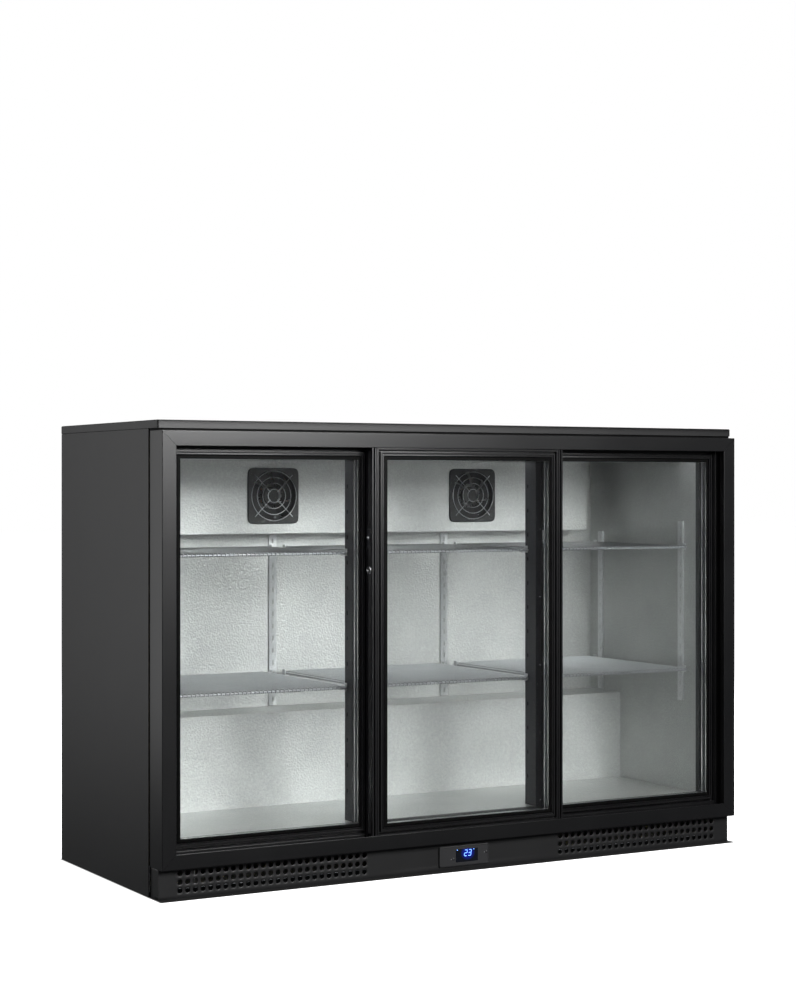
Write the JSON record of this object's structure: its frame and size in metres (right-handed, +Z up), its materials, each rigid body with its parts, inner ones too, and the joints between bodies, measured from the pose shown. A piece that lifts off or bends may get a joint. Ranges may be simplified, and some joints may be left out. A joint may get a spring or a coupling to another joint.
{
  "type": "undercounter refrigerator",
  "caption": "Black back-bar bottle cooler with sliding double-glazed doors on two tracks, wire shelves, an embossed liner, a perforated plinth and a digital temperature controller.",
  "frame": {"origin": "on the floor, under the middle of the cabinet's overall box", "axes": "+X along the width to the right as seen from the front, -Y out of the front, +Z up"},
  "size_m": [1.35, 0.53, 0.9],
  "materials": {
    "black_coat": "satin",
    "black_frame": "satin",
    "black_upright": "satin",
    "black_plastic": "satin",
    "embossed_liner": "satin",
    "bright_aluminium": "satin",
    "coil_aluminium": "matte",
    "insulation": "matte",
    "clear_glass": "gloss",
    "shelf_wire": "satin",
    "lock_chrome": "polished",
    "galvanised_steel": "satin",
    "compressor_black": "satin",
    "roller_plastic": "satin",
    "light_diffuser": "satin",
    "display": "gloss",
    "black_rubber": "matte"
  },
  "bodies": {
    "cabinet": {"side_panel_left": "black_coat", "side_panel_right": "black_coat", "rear_panel": "black_coat", "worktop": "black_coat", "base_pan": "galvanised_steel", "inner_liner": "embossed_liner", "insulation_foam": "insulation", "front_frame_top": "black_frame", "front_frame_bottom": "black_frame", "front_frame_left": "black_frame", "front_frame_right": "black_frame", "kick_panel": "black_coat", "shelf_upper_left": "shelf_wire", "shelf_upper_centre": "shelf_wire", "shelf_upper_right": "shelf_wire", "shelf_lower_left": "shelf_wire", "shelf_lower_centre": "shelf_wire", "shelf_lower_right": "shelf_wire", "support_post_left": "black_upright", "support_post_right": "black_upright", "pilaster_front_left": "bright_aluminium", "pilaster_front_right": "bright_aluminium", "pilaster_rear_left": "bright_aluminium", "pilaster_rear_right": "bright_aluminium", "pilaster_back_left": "bright_aluminium", "pilaster_back_right": "bright_aluminium", "evaporator_cover": "embossed_liner", "evaporator_coil": "coil_aluminium", "led_strip": "light_diffuser", "compressor": "compressor_black", "condenser_coil": "coil_aluminium", "controller_bezel": "black_plastic", "display_lens": "display", "cable_gland": "black_rubber"},
    "door_left": {"door_frame_left": "black_frame", "door_glass_outer_left": "clear_glass", "door_glass_inner_left": "clear_glass"},
    "roller_left_a": {"door_roller_left_a": "roller_plastic"},
    "roller_left_b": {"door_roller_left_b": "roller_plastic"},
    "door_centre": {"door_frame_centre": "black_frame", "door_glass_outer_centre": "clear_glass", "door_glass_inner_centre": "clear_glass"},
    "roller_centre_a": {"door_roller_centre_a": "roller_plastic"},
    "roller_centre_b": {"door_roller_centre_b": "roller_plastic"},
    "door_right": {"door_frame_right": "black_frame", "door_glass_outer_right": "clear_glass", "door_glass_inner_right": "clear_glass"},
    "roller_right_a": {"door_roller_right_a": "roller_plastic"},
    "roller_right_b": {"door_roller_right_b": "roller_plastic"},
    "lock_left": {"lock_barrel_left": "lock_chrome"},
    "lock_right": {"lock_barrel_right": "lock_chrome"},
    "evaporator_fan_left": {"evaporator_fan_left": "black_plastic"},
    "evaporator_fan_right": {"evaporator_fan_right": "black_plastic"},
    "condenser_fan": {"condenser_fan": "black_plastic"},
    "button_left": {"button_left": "black_plastic"},
    "button_right": {"button_right": "black_plastic"},
    "foot_front_left": {"levelling_foot_front_left": "black_rubber"},
    "foot_front_right": {"levelling_foot_front_right": "black_rubber"},
    "foot_rear_left": {"levelling_foot_rear_left": "black_rubber"},
    "foot_rear_right": {"levelling_foot_rear_right": "black_rubber"}
  },
  "joints": [
    {"name": "door_left_slide", "type": "slide", "parent": "cabinet", "child": "door_left", "axis": [1, 0, 0], "range_m": [0, 0.4]},
    {"name": "roller_left_a_turn", "type": "hinge", "parent": "door_left", "child": "roller_left_a", "pos_m": [-0.596, -0.21937, 0.0798], "axis": [0, 1, 0], "range_deg": [-5, 3279]},
    {"name": "roller_left_b_turn", "type": "hinge", "parent": "door_left", "child": "roller_left_b", "pos_m": [-0.266, -0.21937, 0.0798], "axis": [0, 1, 0], "range_deg": [-5, 3279]},
    {"name": "door_centre_slide", "type": "slide", "parent": "cabinet", "child": "door_centre", "axis": [1, 0, 0], "range_m": [-0.43, 0.43]},
    {"name": "roller_centre_a_turn", "type": "hinge", "parent": "door_centre", "child": "roller_centre_a", "pos_m": [-0.165, -0.24863, 0.0798], "axis": [0, 1, 0], "range_deg": [-3524.6, 3524.6]},
    {"name": "roller_centre_b_turn", "type": "hinge", "parent": "door_centre", "child": "roller_centre_b", "pos_m": [0.165, -0.24863, 0.0798], "axis": [0, 1, 0], "range_deg": [-3524.6, 3524.6]},
    {"name": "door_right_slide", "type": "slide", "parent": "cabinet", "child": "door_right", "axis": [1, 0, 0], "range_m": [-0.4, 0]},
    {"name": "roller_right_a_turn", "type": "hinge", "parent": "door_right", "child": "roller_right_a", "pos_m": [0.266, -0.21937, 0.0798], "axis": [0, 1, 0], "range_deg": [-3279, 5]},
    {"name": "roller_right_b_turn", "type": "hinge", "parent": "door_right", "child": "roller_right_b", "pos_m": [0.596, -0.21937, 0.0798], "axis": [0, 1, 0], "range_deg": [-3279, 5]},
    {"name": "lock_left_turn", "type": "hinge", "parent": "door_centre", "child": "lock_left", "pos_m": [-0.2205, -0.24863, 0.61], "axis": [1, 0, 0], "range_deg": [0, 90]},
    {"name": "lock_right_turn", "type": "hinge", "parent": "door_centre", "child": "lock_right", "pos_m": [0.2205, -0.24863, 0.61], "axis": [1, 0, 0], "range_deg": [0, 90]},
    {"name": "evaporator_fan_left_spin", "type": "hinge", "parent": "cabinet", "child": "evaporator_fan_left", "pos_m": [-0.248, 0.152, 0.75485], "axis": [0, -1, 0], "continuous": true},
    {"name": "evaporator_fan_right_spin", "type": "hinge", "parent": "cabinet", "child": "evaporator_fan_right", "pos_m": [0.248, 0.152, 0.75485], "axis": [0, -1, 0], "continuous": true},
    {"name": "condenser_fan_spin", "type": "hinge", "parent": "cabinet", "child": "condenser_fan", "pos_m": [-0.32, 0.1954, 0.0865], "axis": [1, 0, 0], "continuous": true},
    {"name": "button_left_press", "type": "slide", "parent": "cabinet", "child": "button_left", "axis": [0, 1, 0], "range_m": [0, 0.0008], "stiffness_N_per_m": 400},
    {"name": "button_right_press", "type": "slide", "parent": "cabinet", "child": "button_right", "axis": [0, 1, 0], "range_m": [0, 0.0008], "stiffness_N_per_m": 400},
    {"name": "foot_front_left_screw_out", "type": "slide", "parent": "cabinet", "child": "foot_front_left", "axis": [0, 0, -1], "range_m": [0, 0.012]},
    {"name": "foot_front_right_screw_out", "type": "slide", "parent": "cabinet", "child": "foot_front_right", "axis": [0, 0, -1], "range_m": [0, 0.012]},
    {"name": "foot_rear_left_screw_out", "type": "slide", "parent": "cabinet", "child": "foot_rear_left", "axis": [0, 0, -1], "range_m": [0, 0.012]},
    {"name": "foot_rear_right_screw_out", "type": "slide", "parent": "cabinet", "child": "foot_rear_right", "axis": [0, 0, -1], "range_m": [0, 0.012]}
  ],
  "couplings": [
    {"joint": "roller_left_a_turn", "follows": "door_left_slide", "rad_per_m": 142.86},
    {"joint": "roller_left_b_turn", "follows": "door_left_slide", "rad_per_m": 142.86},
    {"joint": "roller_centre_a_turn", "follows": "door_centre_slide", "rad_per_m": 142.86},
    {"joint": "roller_centre_b_turn", "follows": "door_centre_slide", "rad_per_m": 142.86},
    {"joint": "roller_right_a_turn", "follows": "door_right_slide", "rad_per_m": 142.86},
    {"joint": "roller_right_b_turn", "follows": "door_right_slide", "rad_per_m": 142.86}
  ]
}
